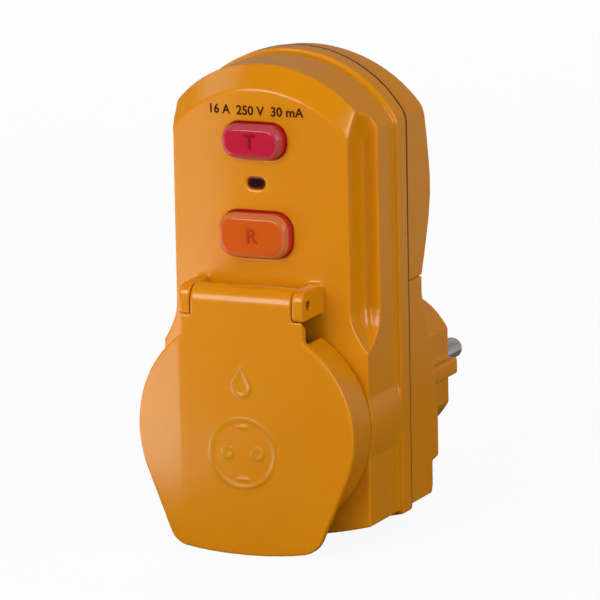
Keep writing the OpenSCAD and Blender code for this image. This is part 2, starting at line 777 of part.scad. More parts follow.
module reset_key() color(amber) placed() {
    key_core(reset_w, reset_h, reset_r, reset_z);
    slab(-3, 3, 4, carriage_u - 0.05, reset_z - 2, reset_z + 2);
}

module reset_cap() color([0.85, 0.42, 0.14, 0.6]) placed() key_cap(reset_w, reset_h, reset_r, reset_z);

module reset_spring() color(steel) placed() depth_spring(3.95, 0.25, 4.1, board_u, 6, 0, reset_z);

module indicator_window() color([0.1, 0.06, 0.05, 0.7]) placed() {
    rounded_block(window_w, window_h, window_h / 2 - 0.05, 0.35, 2.5, window_z);
    rounded_block(window_w + 1.6, window_h + 1.6, 1.8, 2.5, 3.3, window_z);
}

module indicator_flag() color(black) placed() {
    difference() {
        union() {
            intersection() {
                bar(6.9, -2.8, 2.8, flag_u, window_z);
                side_prism([[flag_u, window_z], [flag_u - 12, window_z - 3.4], [flag_u - 12, window_z + 2.4]], -3, 3);
            }
            bar(1.9, -3.2, 3.2, flag_u, window_z);
            side_prism([[flag_u - 1, window_z - 1.5], [flag_u - 7.1, window_z - 5], [flag_u - 7.1, window_z - 5.9],
                        [flag_u - 6, window_z - 5.9], [flag_u + 0.6, window_z - 1.6]], -2, 2);
        }
        bar(0.8 + slide_gap, -9, 9, flag_u, window_z);
    }
}

module flag_red() color(red) placed() {
    difference() {
        intersection() {
            bar(6.9, -2.8, 2.8, flag_u, window_z);
            side_prism([[flag_u, window_z + 0.02], [flag_u - 12, window_z + 2.42], [flag_u - 12, window_z + 9.4]], -3, 3);
        }
        bar(2, -9, 9, flag_u, window_z);
    }
}

module flag_axle() color(steel) placed() bar(0.8, -5.1, 5.1, flag_u, window_z);

module circuit_board() color([0.16, 0.36, 0.2]) placed() {
    difference() {
        slab(-post_x - 1.8, post_x + 1.8, board_u, board_back, collar_r + 0.4, body_top - 9.5);
        slab(-3.6, 3.6, board_u - 1, board_back + 1, reset_z - 2.6, reset_z + 2.6);
        for (sx = [-1, 1]) {
            rod(1.1, board_u - 1, board_back + 1, sx * post_x, post_low_z);
            rod(1.1, board_u - 1, board_back + 1, sx * post_x, post_top_z);
            rod(1.02, board_u - 1, board_back + 1, sx * 5.9, reset_z);
            rod(post_r + 0.3, board_u - 1, board_back + 1, sx * screw_x, screw_top_z);
        }
    }
}

module board_screws() color(steel) placed() {
    for (sx = [-1, 1])
        for (z = [post_low_z, post_top_z]) {
            rod(0.93, 9, board_back + 0.5, sx * post_x, z);
            rod(1.75, board_back, board_back + 1.3, sx * post_x, z);
        }
}

module test_switch() color(black) placed() {
    rod(2.2, 11.4, board_u, 0, test_z);
    rod(1.1, 10.4, 11.5, 0, test_z);
}

module test_resistor() color([0.75, 0.66, 0.48]) placed() {
    bar(1.1, 6.6, 12.6, 12.6, window_z);
    bar(0.3, 5.8, 13.4, 12.6, window_z);
    for (x = [5.8, 13.4])
        rod(0.3, 12.6, board_u, x, window_z);
}

module sensor_core() color([0.28, 0.28, 0.3]) placed() {
    translate([0, board_back + core_d / 2 + 1.1, 24.6])
        difference() {
            cylinder(r = core_d / 2, h = 5.4);
            translate([0, 0, -1]) cylinder(r = core_d / 2 - 3, h = 8);
        }
}

// One wire wound round the front half of the ring core
module sensor_winding() color(copper) placed() {
    turns = 9;
    steps = turns * 12;
    angle = function(i) 195 + 150 * i / steps;
    path = [for (i = [0:steps])
        let (a = angle(i))
        let (b = 30 * i)
        let (out = core_d / 2 - 1.5 + 2.25 * pow(abs(cos(b)), 0.5) * sign(cos(b)))
        let (up = 3.45 * pow(abs(sin(b)), 0.5) * sign(sin(b)))
        [out * cos(a), out * sin(a), up]];
    asides = [for (i = [0:steps]) [-sin(angle(i)), cos(angle(i)), 0]];
    translate([0, board_back + core_d / 2 + 1.1, 27.3]) tube(path, 0.35, asides);
}

module trip_yoke() color(steel) placed() {
    difference() {
        union() {
            slab(-yoke_w / 2, yoke_w / 2, board_back, board_back + yoke_t, yoke_z, yoke_z + yoke_h);
            slab(-yoke_w / 2, yoke_w / 2, board_back, coil_u + 4, yoke_z, yoke_z + yoke_t);
            slab(-yoke_w / 2, yoke_w / 2, board_back, coil_u + 4, yoke_z + yoke_h - yoke_t, yoke_z + yoke_h);
        }
        translate([0, coil_u, yoke_z - 10]) cylinder(r = plunger_r + slide_gap, h = 12);
    }
}

module trip_bobbin() color([0.85, 0.83, 0.76]) placed() {
    h = yoke_h - 2 * yoke_t - 0.1;
    translate([0, coil_u, yoke_z + yoke_t + 0.05])
        difference() {
            union() {
                cylinder(r = plunger_r + 1.2, h = h);
                cylinder(r = yoke_w / 2 - 0.4, h = 0.9);
                translate([0, 0, h - 0.9]) cylinder(r = yoke_w / 2 - 0.4, h = 0.9);
            }
            translate([0, 0, -1]) cylinder(r = plunger_r + slide_gap, h = h + 2);
        }
}

module trip_winding() color(copper) placed() {
    h = yoke_h - 2 * yoke_t - 2;
    translate([0, coil_u, yoke_z + yoke_t + 1])
        difference() {
            cylinder(r = yoke_w / 2 - 1, h = h);
            translate([0, 0, -1]) cylinder(r = plunger_r + 1.22, h = h + 2);
        }
}

module trip_plunger() color(steel) placed() {
    foot = yoke_z - plunger_travel - 0.7;
    translate([0, coil_u, foot]) cylinder(r = plunger_r, h = plunger_top - foot);
    translate([0, coil_u, foot]) cylinder(r = plunger_r + 0.9, h = 0.5);
}

module plunger_spring() color(steel) placed() {
    turns = 4;
    wire = 0.2;
    r = plunger_r - 0.5;
    low = plunger_top + wire + 0.1;
    rise = yoke_z + yoke_h - yoke_t - wire - 0.2 - low;
    path = [for (i = [0:turns * 10])
        let (a = 36 * i) [r * cos(a), coil_u + r * sin(a), low + rise * i / (turns * 10)]];
    tube(path, wire, [0, 0, 1]);
}

module contact_carriage() color([0.85, 0.83, 0.76]) placed() {
    difference() {
        slab(-13.4, 13.4, carriage_u, carriage_u + carriage_t, reset_z - 3.5, reset_z + 3.5);
        for (sx = [-1, 1])
            rod(1 + slide_gap, 0, 60, sx * 5.9, reset_z);
    }
}

// A bridge of one pole: spring plate with two contact buttons
module bridge(side) {
    u = carriage_u + carriage_t;
    slab(side * contact_x - 1.8, side * contact_x + 1.8, u, u + 0.7, reset_z - 7, reset_z + 7);
    for (s = [-1, 1])
        rod(1.4, u + 0.6, u + 1.6, side * contact_x, reset_z + 5 * s);
}

module bridge_line() color(copper) placed() bridge(1);
module bridge_neutral() color(copper) placed() bridge(-1);

module carriage_guides() color(steel) placed() {
    for (sx = [-1, 1]) {
        rod(1, board_u, 28, sx * 5.9, reset_z);
        rod(1.9, 27.4, 28.2, sx * 5.9, reset_z);
    }
}

module carriage_springs() color(steel) placed() {
    for (sx = [-1, 1])
        depth_spring(1.45, 0.2, carriage_u + carriage_t, 27.4, 5, sx * 5.9, reset_z);
}

// The fixed contact to the socket: a strip up from the sleeve with a contact button
module fixed_out(side) {
    slab(side * contact_x - 1.8, side * contact_x + 1.8, strip_u, strip_u + 0.8, sleeve_out + 0.05, reset_z - 2.6);
    rod(1.4, carriage_u + carriage_t + 1.6 + reset_travel + 0.3, strip_u + 0.1, side * contact_x, reset_z - 5);
}

module fixed_out_line() color(copper) placed() fixed_out(1);
module fixed_out_neutral() color(copper) placed() fixed_out(-1);

// The fixed contact from the feed wire
module fixed_in(side) {
    slab(side * contact_x - 1.8, side * contact_x + 1.8, strip_u, strip_u + 0.8, reset_z + 2.6, reset_z + 10);
    rod(1.4, carriage_u + carriage_t + 1.6 + reset_travel + 0.3, strip_u + 0.1, side * contact_x, reset_z + 5);
}

module fixed_in_line() color(copper) placed() fixed_in(1);
module fixed_in_neutral() color(copper) placed() fixed_in(-1);

// A feed wire from the plug pin up through the sensor to its fixed contact
function feed_route(side) =
    let (core_u = board_back + core_d / 2 + 1.1)
    let (root_u = plug_end - 14.05)
    let (back = root_u - 28)
    [[side * pin_x, root_u, 0], [side * pin_x, root_u - 0.24 * back, 0], [side * pin_x, root_u - 0.45 * back, 1],
     [side * 8, root_u - 0.66 * back, 5], [side * 5, root_u - 0.83 * back, 10], [side * 2.4, root_u - back, 14],
     [side * 1.7, core_u + 0.6, 18], [side * 1.7, core_u, 23],
     [side * 1.7, core_u, 32], [side * 2.2, core_u + 3, 35], [side * 3.4, 30.5, 38.5], [side * 6.5, 31.5, 45],
     [side * 9.4, 30.6, 49.5], [side * contact_x, 29.2, 50.5], [side * contact_x, strip_u + 0.95, 50.8]];

module feed_wire_line() color([0.35, 0.2, 0.12]) placed() tube(feed_route(1), 1.1, [1, 0, 0.35], 8);
module feed_wire_neutral() color([0.12, 0.25, 0.6]) placed() tube(feed_route(-1), 1.1, [1, 0, -0.35], 8);

module varistor() color([0.15, 0.3, 0.62]) placed() {
    z = screw_top_z - 1;
    rod(4, board_back + 2.2, board_back + 5, board_part_x, z);
    for (s = [-1, 1])
        rod(0.35, board_back, board_back + 3, board_part_x + 2.2 * s, z);
}

module capacitor() color([0.13, 0.13, 0.15]) placed() 
    rod(4, board_back, board_back + 9, -board_part_x, screw_top_z - 1.5);

module thyristor() color(black) placed() {
    z = post_low_z + 5;
    slab(9, 13, board_back + 2, board_back + 4.4, z - 2, z + 2);
    for (x = [10, 11, 12])
        slab(x - 0.25, x + 0.25, board_back, board_back + 2.1, z - 0.3, z + 0.3);
}

front_shell();
rear_base();
rear_cover();
shell_gasket();
housing_screws();
socket_insert();
contact_holder();
contact_line();
contact_neutral();
earth_bracket();
plug_pin_line();
plug_pin_neutral();
plug_earth_strip();
earth_link();
socket_lid();
lid_gasket();
hinge_pin();
lid_spring();
test_key();
test_cap();
test_spring();
reset_key();
reset_cap();
reset_spring();
indicator_window();
indicator_flag();
flag_red();
flag_axle();
circuit_board();
board_screws();
test_switch();
test_resistor();
sensor_core();
sensor_winding();
trip_yoke();
trip_bobbin();
trip_winding();
trip_plunger();
plunger_spring();
contact_carriage();
bridge_line();
bridge_neutral();
carriage_guides();
carriage_springs();
fixed_in_line();
fixed_in_neutral();
fixed_out_line();
fixed_out_neutral();
feed_wire_line();
feed_wire_neutral();
varistor();
capacitor();
thyristor();
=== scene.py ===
"""Looks of a plug-in residual-current adapter: orange housing, lidded socket, two keys and earthed plug."""
import json
import math

import bmesh
import bpy
from mathutils import Matrix, Vector

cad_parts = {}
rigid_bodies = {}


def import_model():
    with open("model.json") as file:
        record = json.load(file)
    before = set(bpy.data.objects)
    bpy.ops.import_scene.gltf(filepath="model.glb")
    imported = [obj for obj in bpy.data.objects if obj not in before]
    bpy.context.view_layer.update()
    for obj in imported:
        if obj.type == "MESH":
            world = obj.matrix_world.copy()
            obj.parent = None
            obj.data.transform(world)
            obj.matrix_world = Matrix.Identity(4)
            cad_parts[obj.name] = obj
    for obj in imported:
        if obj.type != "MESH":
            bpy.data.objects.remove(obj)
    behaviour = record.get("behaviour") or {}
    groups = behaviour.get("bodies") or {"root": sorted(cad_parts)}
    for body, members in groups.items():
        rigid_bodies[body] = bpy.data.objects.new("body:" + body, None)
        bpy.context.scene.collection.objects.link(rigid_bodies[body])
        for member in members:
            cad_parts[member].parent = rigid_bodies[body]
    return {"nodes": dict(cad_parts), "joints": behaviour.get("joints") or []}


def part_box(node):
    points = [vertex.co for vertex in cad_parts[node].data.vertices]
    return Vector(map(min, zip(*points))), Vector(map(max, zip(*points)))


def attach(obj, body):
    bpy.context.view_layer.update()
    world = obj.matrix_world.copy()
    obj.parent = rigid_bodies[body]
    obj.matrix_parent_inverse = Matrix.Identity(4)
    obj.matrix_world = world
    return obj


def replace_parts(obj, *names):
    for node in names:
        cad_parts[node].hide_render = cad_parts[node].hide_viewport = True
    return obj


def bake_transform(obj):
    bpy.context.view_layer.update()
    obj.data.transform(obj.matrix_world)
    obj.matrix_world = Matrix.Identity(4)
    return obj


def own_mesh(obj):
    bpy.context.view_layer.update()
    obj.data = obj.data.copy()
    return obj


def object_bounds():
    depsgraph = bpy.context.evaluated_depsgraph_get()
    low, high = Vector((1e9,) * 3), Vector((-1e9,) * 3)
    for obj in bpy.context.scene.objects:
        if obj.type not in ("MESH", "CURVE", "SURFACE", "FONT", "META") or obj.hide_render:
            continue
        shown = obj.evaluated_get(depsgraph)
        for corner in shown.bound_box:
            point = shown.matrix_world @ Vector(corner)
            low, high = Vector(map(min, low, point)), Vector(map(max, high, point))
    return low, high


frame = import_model()
nodes = frame["nodes"]
cad_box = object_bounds()
mm = 0.001

# Housing: front shell, rear cover and rear base with its plug.
# Injection-moulded orange thermoplastic with a fine spark-eroded grain; every edge carries the mould's
# small radius. The three mouldings are drawn together by four screws from behind.


class Wire:
    """One socket of a finish; arithmetic on it adds Math nodes to the same tree."""

    def __init__(self, finish, socket):
        self.finish, self.socket = finish, socket

    def _math(self, operation, first, second):
        return self.finish.node("ShaderNodeMath", {"operation": operation}, {0: first, 1: second})[0]

    def __add__(self, other):
        return self._math("ADD", self, other)

    def __radd__(self, other):
        return self._math("ADD", other, self)

    def __sub__(self, other):
        return self._math("SUBTRACT", self, other)

    def __mul__(self, other):
        return self._math("MULTIPLY", self, other)

    def __rmul__(self, other):
        return self._math("MULTIPLY", other, self)

    def above(self, limit, soft):
        """0 below the limit, 1 above it, with an edge of the given softness."""
        return self.finish.node("ShaderNodeMapRange", {"interpolation_type": "SMOOTHSTEP"},
                                {"Value": self, "From Min": limit - soft, "From Max": limit + soft})[0]


class Finish:
    """A material with one Principled shader; its constants are set on the shader's own sockets."""

    def __init__(self, name, **constants):
        self.material = bpy.data.materials.new(name)
        self.material.use_nodes = True
        self.tree = self.material.node_tree
        self.shader = self.tree.nodes["Principled BSDF"]
        for words, value in constants.items():
            self.shader.inputs[words.replace("_", " ").title().replace("Ior", "IOR")].default_value = value
        self.place = self.node("ShaderNodeTexCoord", {}, {})[3]

    def node(self, kind, settings, sockets):
        """Adds a node: its settings, then a value or a wire for each named socket; returns its outputs."""
        made = self.tree.nodes.new(kind)
        for name, value in settings.items():
            setattr(made, name, value)
        for name, value in sockets.items():
            self.join(made.inputs[name], value)
        return [Wire(self, out) for out in made.outputs]

    def join(self, socket, value):
        if isinstance(value, Wire):
            self.tree.links.new(value.socket, socket)
        else:
            socket.default_value = value

    def noise(self, size, detail=2.0, stretch=(1, 1, 1)):
        """Cloudy values from 0 to 1 in blots of about the given size; stretch lengthens them on an axis."""
        place = self.node("ShaderNodeMapping", {}, {"Vector": self.place,
                                                    "Scale": [1 / s for s in stretch]})[0]
        return self.node("ShaderNodeTexNoise", {}, {"Vector": place, "Scale": 1 / size, "Detail": detail})[0]

    def blend(self, share, first, second):
        """Colour between two colours, each three numbers or a wire."""
        ends = [end if isinstance(end, Wire) else (*end, 1) for end in (first, second)]
        return self.node("ShaderNodeMix", {"data_type": "RGBA"}, {0: share, 6: ends[0], 7: ends[1]})[2]

    def feed(self, **wires):
        for words, wire in wires.items():
            self.join(self.shader.inputs[words.replace("_", " ").title()], wire)
        return self

    def relief(self, height, depth):
        """Fine relief of the given depth in metres."""
        return self.node("ShaderNodeBump", {}, {"Height": height, "Strength": 1.0, "Distance": depth})[0]


def dress(piece, finish):
    """Gives a piece one material all over."""
    piece.data.materials.clear()
    piece.data.materials.append(finish.material)
    for face in piece.data.polygons:
        face.material_index = 0


DOUBLED = 0.001 * mm


def soften(name, grid, passes, keep):
    """Gives a moulded CAD solid the edge radius of its tool: a fine even mesh, relaxed and thinned again."""
    piece = nodes[name]
    close = piece.modifiers.new("close", "WELD")
    close.merge_threshold = DOUBLED
    even = piece.modifiers.new("even", "REMESH")
    even.mode, even.voxel_size, even.use_smooth_shade = "VOXEL", grid, True
    relax = piece.modifiers.new("relax", "SMOOTH")
    relax.factor, relax.iterations = 0.5, passes
    thin = piece.modifiers.new("thin", "DECIMATE")
    thin.ratio = keep
    return piece


ORANGE, ORANGE_DEEP = (0.655, 0.250, 0.0010), (0.632, 0.235, 0.0008)
orange = Finish("orange_moulding", specular_ior_level=0.5, subsurface_weight=0.5, subsurface_scale=2.2 * mm,
                subsurface_radius=(1.0, 0.25, 0.05))
orange.feed(
    base_color=orange.blend(orange.noise(18 * mm), ORANGE, ORANGE_DEEP),
    roughness=0.20 + 0.07 * orange.noise(2.5 * mm, 3.0),
    normal=orange.relief(orange.noise(0.28 * mm, 1.0), 0.003 * mm))
for name, keep in (("front_shell", 0.23), ("rear_base", 0.33), ("rear_cover", 0.56)):
    dress(soften(name, 0.25 * mm, 12, keep), orange)

# Seal in the seam: a thin brown rubber frame pressed between the front shell and the two rear mouldings.
# Its lip comes out as far as the front shell's rim, and shows as a dark line round the housing.
rubber = Finish("brown_rubber", specular_ior_level=0.1)
rubber.feed(
    base_color=rubber.blend(rubber.noise(3 * mm), (0.125, 0.052, 0.012), (0.095, 0.039, 0.009)),
    roughness=0.55 + 0.2 * rubber.noise(0.8 * mm),
    normal=rubber.relief(rubber.noise(0.25 * mm), 0.01 * mm))


def add(name, data):
    """A new object in the scene."""
    made = bpy.data.objects.new(name, data)
    bpy.context.scene.collection.objects.link(made)
    return made


def merged_copy(name, ending, smooth):
    """A new piece with a CAD node's mesh, its doubled points merged; it stands for the node."""
    mesh = nodes[name].data.copy()
    mesh.name = name + ending
    shape = bmesh.new()
    shape.from_mesh(mesh)
    bmesh.ops.remove_doubles(shape, verts=shape.verts, dist=DOUBLED)
    for face in shape.faces:
        face.smooth = smooth
    shape.to_mesh(mesh)
    shape.free()
    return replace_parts(add(mesh.name, mesh), name)


SEAL_LIP, SEAL_MIDDLE = 0.98 * mm, Vector((0, 0, 28 * mm))
seal = merged_copy("shell_gasket", "_lip", False)
shape = bmesh.new()
shape.from_mesh(seal.data)
shape.normal_update()
for vert in shape.verts:
    outward = Vector((vert.normal.x, 0, vert.normal.z)).normalized()
    if outward.dot(vert.co - SEAL_MIDDLE) > 0:
        vert.co += SEAL_LIP * outward
shape.to_mesh(seal.data)
shape.free()
dress(seal, rubber)
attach(seal, "housing")

# Screws: zinc-plated, with a cross recess, at the bottom of deep holes in the rear mouldings.
# The board's small screws are of the same plated steel.
zinc = Finish("zinc_plate", metallic=1.0)
zinc.feed(
    base_color=zinc.blend(zinc.noise(0.9 * mm), (0.66, 0.67, 0.69), (0.52, 0.53, 0.56)),
    roughness=0.26 + 0.16 * zinc.noise(0.5 * mm, 3.0),
    normal=zinc.relief(zinc.noise(0.15 * mm), 0.004 * mm))
for name in ("housing_screws", "board_screws"):
    dress(nodes[name], zinc)

# Socket: a dark grey moulded well with two pin holes, brass sleeves behind them and brass earth clips
# above and below. The insert's flange sits against the inside of the front wall.
slate = Finish("slate_moulding")
slate.feed(
    base_color=slate.blend(slate.noise(9 * mm), (0.030, 0.030, 0.033), (0.022, 0.022, 0.025)),
    roughness=0.42 + 0.14 * slate.noise(1.6 * mm, 3.0),
    normal=slate.relief(slate.noise(0.3 * mm), 0.012 * mm))
dress(soften("socket_insert", 0.3 * mm, 6, 0.4), slate)
dress(nodes["contact_holder"], slate)

brass = Finish("bright_brass", metallic=1.0)
brass.feed(
    base_color=brass.blend(brass.noise(4 * mm, 3.0), (0.80, 0.56, 0.24), (0.66, 0.43, 0.17)),
    roughness=0.22 + 0.18 * brass.noise(0.4 * mm, 2.0, (1, 12, 1)),
    normal=brass.relief(brass.noise(0.12 * mm, 1.0, (1, 20, 1)), 0.003 * mm))
for name in ("contact_line", "contact_neutral", "earth_bracket", "earth_link", "fixed_in_line",
             "fixed_in_neutral", "fixed_out_line", "fixed_out_neutral", "bridge_line", "bridge_neutral"):
    dress(nodes[name], brass)

# Plug: two solid nickel-plated pins with domed tips, which stand in close bores of the rear base, and two
# sprung-steel earth strips, which lie in seats above and below.
nickel = Finish("nickel_plate", metallic=0.7)
# Painted reflection: long light and dark streaks along each pin in the base colour stand in for the room
# mirrored in it; they also vary the roughness.
painted_reflection_streaks = nickel.noise(1.1 * mm, 2.0, (1, 60, 1))
nickel.feed(
    base_color=nickel.blend(painted_reflection_streaks.above(0.5, 0.2), (0.90, 0.89, 0.87), (0.36, 0.35, 0.34)),
    roughness=0.20 + 0.16 * painted_reflection_streaks,
    normal=nickel.relief(nickel.noise(0.1 * mm, 1.0, (1, 40, 1)), 0.003 * mm))
for name in ("plug_pin_line", "plug_pin_neutral", "plug_earth_strip"):
    dress(nodes[name], nickel)

# Lid: one moulding of the housing's orange with a hinge knuckle and a finger tab, sprung shut on a wire
# spring, with a rubber ring inside and raised lines in front.
dress(soften("socket_lid", 0.25 * mm, 12, 0.6), orange)
dress(nodes["lid_gasket"], rubber)
LID_FRONT, LINE_W, LINE_H = -81.1 * mm, 0.42 * mm, 0.18 * mm


def ring(x, z, radius, turn=360, start=0):
    """Points round a centre on the lid's front, in millimetres."""
    steps = max(3, round(abs(turn) / 9))
    return [(x + radius * math.cos(math.radians(start + turn * i / steps)),
             z + radius * math.sin(math.radians(start + turn * i / steps)))
            for i in range(steps + (turn < 360))]


def curve_mesh(name, curve):
    """The mesh that a curve or text makes."""
    made = add(name, curve)
    bpy.context.view_layer.update()
    mesh = bpy.data.meshes.new_from_object(made.evaluated_get(bpy.context.evaluated_depsgraph_get()))
    bpy.data.objects.remove(made)
    return mesh


def raised_lines(name, lines):
    """Half-round ridges along lines on the lid's front; the first of each pair says whether it closes."""
    curve = bpy.data.curves.new(name, "CURVE")
    curve.dimensions, curve.use_fill_caps = "3D", True
    curve.bevel_depth, curve.bevel_resolution = LINE_W / 2, 2
    for closed, points in lines:
        spline = curve.splines.new("POLY")
        spline.points.add(len(points) - 1)
        for point, (x, z) in zip(spline.points, points):
            point.co = (x * mm, 0, z * mm, 1)
        spline.use_cyclic_u = closed
    mesh = curve_mesh(name, curve)
    mesh.transform(Matrix.Translation((0, LID_FRONT, 0)) @ Matrix.Diagonal((1, 2 * LINE_H / LINE_W, 1, 1)))
    for face in mesh.polygons:
        face.use_smooth = True
    return add(name, mesh)


DROP_Z, DROP_R, DROP_TOP = 10.6, 2.2, 15.6
SOCKET_Z, SOCKET_R, PIN_X, PIN_R, CLIP_Z, CLIP_X = -4.5, 8, 3.7, 1.3, 6, 1.4
lean = math.degrees(math.asin(DROP_R / (DROP_TOP - DROP_Z)))
lid_lines = raised_lines("lid_lines", [
    (True, [(0, DROP_TOP)] + ring(0, DROP_Z, DROP_R, -180 - 2 * lean, lean)),
    (True, ring(0, SOCKET_Z, SOCKET_R)),
    (True, ring(-PIN_X, SOCKET_Z, PIN_R)),
    (True, ring(PIN_X, SOCKET_Z, PIN_R)),
    (False, [(-CLIP_X, SOCKET_Z + CLIP_Z), (CLIP_X, SOCKET_Z + CLIP_Z)]),
    (False, [(-CLIP_X, SOCKET_Z - CLIP_Z), (CLIP_X, SOCKET_Z - CLIP_Z)])])
dress(lid_lines, orange)
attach(lid_lines, "lid")

dark_steel = Finish("dark_steel", metallic=1.0)
dark_steel.feed(
    base_color=dark_steel.blend(dark_steel.noise(0.8 * mm), (0.10, 0.09, 0.085), (0.06, 0.055, 0.05)),
    roughness=0.34 + 0.2 * dark_steel.noise(0.4 * mm))
dress(nodes["hinge_pin"], dark_steel)

# Springs: drawn steel wire, coiled. Each is a merged copy of its CAD node in its place:
# a pressed spring's copy rides on its joint's parent body, and the lid's spring stays where it is drawn.
spring_wire = Finish("spring_wire", metallic=1.0)
spring_wire.feed(
    base_color=spring_wire.blend(spring_wire.noise(1.2 * mm), (0.58, 0.59, 0.61), (0.44, 0.45, 0.47)),
    roughness=0.24 + 0.14 * spring_wire.noise(0.3 * mm))
for name in ("carriage_guides", "flag_axle"):
    dress(nodes[name], spring_wire)

for joint in frame["joints"]:
    for spring in joint.get("deforming_nodes", ()):
        name, along = spring["node"], spring["mode"][-1]
        low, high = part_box(name)
        coil = merged_copy(name, "_coil", True)
        dress(coil, spring_wire)
        if joint["type"] == "hinge":
            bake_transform(coil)
        else:
            axis = Vector((along == "x", along == "y", along == "z"))
            fixed = axis * spring[f"fixed_end_{along}_m"]
            length = max(abs(axis.dot(Vector(end) - fixed)) for end in (low, high))
            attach(coil, joint["parent"])
            1 - joint["range_m"][1] / length
            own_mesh(coil)

# Keys: a coloured core under a clear cap whose milky slope and dark flank frame it; a raised letter in front.
# Each key slides in its hole in the fascia on a coil spring.
KEY_FRONT, SLOPE_END = -74.4 * mm, -72.85 * mm


def key_core(name, light, deep, gloss=0.3):
    core = Finish(name + "_core", coat_weight=gloss, coat_roughness=0.15, specular_ior_level=gloss)
    core.feed(
        base_color=core.blend(core.noise(5 * mm), light, deep),
        roughness=0.30 + 0.10 * core.noise(1.2 * mm),
        normal=core.relief(core.noise(0.3 * mm), 0.006 * mm))
    return core


def key_cap(name, face, slope, flank):
    """Core colour over the flat front, milky on the slope; the flanks carry a painted glow, emission in their
    own colour standing in for light shining through them.
    """
    cap = Finish(name + "_cap", ior=1.49, emission_strength=0.5)
    depth = cap.node("ShaderNodeSeparateXYZ", {}, {0: cap.place})[1]
    on_slope = depth.above(KEY_FRONT + 0.14 * mm, 0.10 * mm)
    on_flank = depth.above(SLOPE_END, 0.2 * mm)
    cap.feed(
        base_color=cap.blend(on_flank, cap.blend(on_slope, face, slope), flank),
        alpha=0.80 + 0.12 * on_flank,
        # painted glow: the flank emits its own colour at half strength
        emission_color=cap.blend(on_flank, (0, 0, 0), flank),
        roughness=0.09 + 0.08 * cap.noise(1.0 * mm))
    return cap


TEST_RED, TEST_DEEP = (0.56, 0.010, 0.042), (0.50, 0.008, 0.034)
RESET_AMBER, RESET_DEEP = (0.66, 0.105, 0.006), (0.60, 0.090, 0.005)
red_core = key_core("test", TEST_RED, TEST_DEEP)
amber_core = key_core("reset", RESET_AMBER, RESET_DEEP)
dress(soften("test_key", 0.16 * mm, 5, 0.4), red_core)
dress(soften("reset_key", 0.16 * mm, 5, 0.4), amber_core)
red_cap = key_cap("test", TEST_RED, (0.47, 0.070, 0.085), (0.27, 0.005, 0.009))
amber_cap = key_cap("reset", RESET_AMBER, (0.60, 0.170, 0.050), (0.31, 0.010, 0.009))
dress(soften("test_cap", 0.14 * mm, 6, 0.35), red_cap)
dress(soften("reset_cap", 0.14 * mm, 6, 0.35), amber_cap)


def lettering(name, words, height, swell, weight=0.0):
    """A mesh of plain letters round the origin, raised along Z; weight thickens their strokes."""
    curve = bpy.data.curves.new(name, "FONT")
    curve.body, curve.size, curve.align_x, curve.align_y = words, height, "CENTER", "CENTER"
    curve.extrude, curve.offset = swell * 0.6, weight
    curve.bevel_depth, curve.bevel_resolution = swell * 0.4, 2
    return add(name, curve_mesh(name, curve))


STAND_UP = Matrix.Rotation(math.radians(90), 4, "X")
LETTER_H, LETTER_RISE, TEST_Z, RESET_Z = 4.6 * mm, 0.2 * mm, 64.8 * mm, 43.5 * mm
red_letter = key_core("test_letter", (0.27, 0.005, 0.018), (0.24, 0.004, 0.015), 0.05)
amber_letter = key_core("reset_letter", (0.42, 0.052, 0.004), (0.38, 0.046, 0.003), 0.05)
for name, letter, z, core, body in (("test_letter", "T", TEST_Z, red_letter, "test_button"),
                                    ("reset_letter", "R", RESET_Z, amber_letter, "reset_button")):
    piece = lettering(name, letter, LETTER_H, LETTER_RISE)
    piece.data.transform(Matrix.Translation((0, KEY_FRONT, z)) @ STAND_UP)
    dress(piece, core)
    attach(piece, body)

# Indicator: a small smoked window with a reddish rim, set in the fascia between the keys.
# Behind it a flag, dark or red, turns on its axle.
WINDOW_Z, WINDOW_HALF, WINDOW_STRAIGHT, WINDOW_RIM = 55.1 * mm, 1.35 * mm, 0.85 * mm, 0.42 * mm
smoke = Finish("smoked_window", alpha=0.8)
across, _, height = smoke.node("ShaderNodeSeparateXYZ", {}, {0: smoke.place})
aside = smoke.node("ShaderNodeMath", {"operation": "ABSOLUTE"}, {0: across})[0] - WINDOW_STRAIGHT
aside = smoke.node("ShaderNodeMath", {"operation": "MAXIMUM"}, {0: aside, 1: 0.0})[0]
off_line = smoke.node("ShaderNodeMath", {"operation": "POWER"}, {
    0: aside * aside + (height - WINDOW_Z) * (height - WINDOW_Z), 1: 0.5})[0]
smoke.feed(
    base_color=smoke.blend(off_line.above(WINDOW_HALF - WINDOW_RIM, 0.16 * mm),
                           smoke.blend(smoke.noise(1.5 * mm), (0.016, 0.006, 0.004), (0.010, 0.004, 0.003)),
                           (0.170, 0.014, 0.007)),
    roughness=0.07 + 0.06 * smoke.noise(0.5 * mm))
dress(soften("indicator_window", 0.08 * mm, 5, 0.5), smoke)

# Print: one line of plain ratings above the keys, pad-printed in dark brown on the bowed face.
# The ink follows the face's curve and stands a hair proud of it.
FACE_R, FACE_Y = 95 * mm, -71.2 * mm
PRINT_Z, PRINT_W, PRINT_H, STROKE, INK = 71.4 * mm, 23.4 * mm, 2.9 * mm, 0.07 * mm, 0.03 * mm
print_line = lettering("print_line", "16 A  250 V  30 mA", PRINT_H, 0.0, STROKE)
ink_shape = bmesh.new()
ink_shape.from_mesh(print_line.data)
half = max(v.co.x for v in ink_shape.verts)
bmesh.ops.scale(ink_shape, verts=ink_shape.verts, vec=(PRINT_W / 2 / half, 1, 1))
for vert in ink_shape.verts:
    x, z = vert.co.x, vert.co.y
    vert.co = (x, FACE_Y + FACE_R - math.sqrt(FACE_R ** 2 - x ** 2) - INK, PRINT_Z + z)
ink_shape.to_mesh(print_line.data)
ink_shape.free()
ink = Finish("dark_ink", specular_ior_level=0.0)
ink.feed(
    base_color=ink.blend(ink.noise(0.6 * mm), (0.062, 0.010, 0.004), (0.046, 0.008, 0.003)),
    roughness=0.45 + 0.2 * ink.noise(0.4 * mm))
dress(print_line, ink)
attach(print_line, "housing")

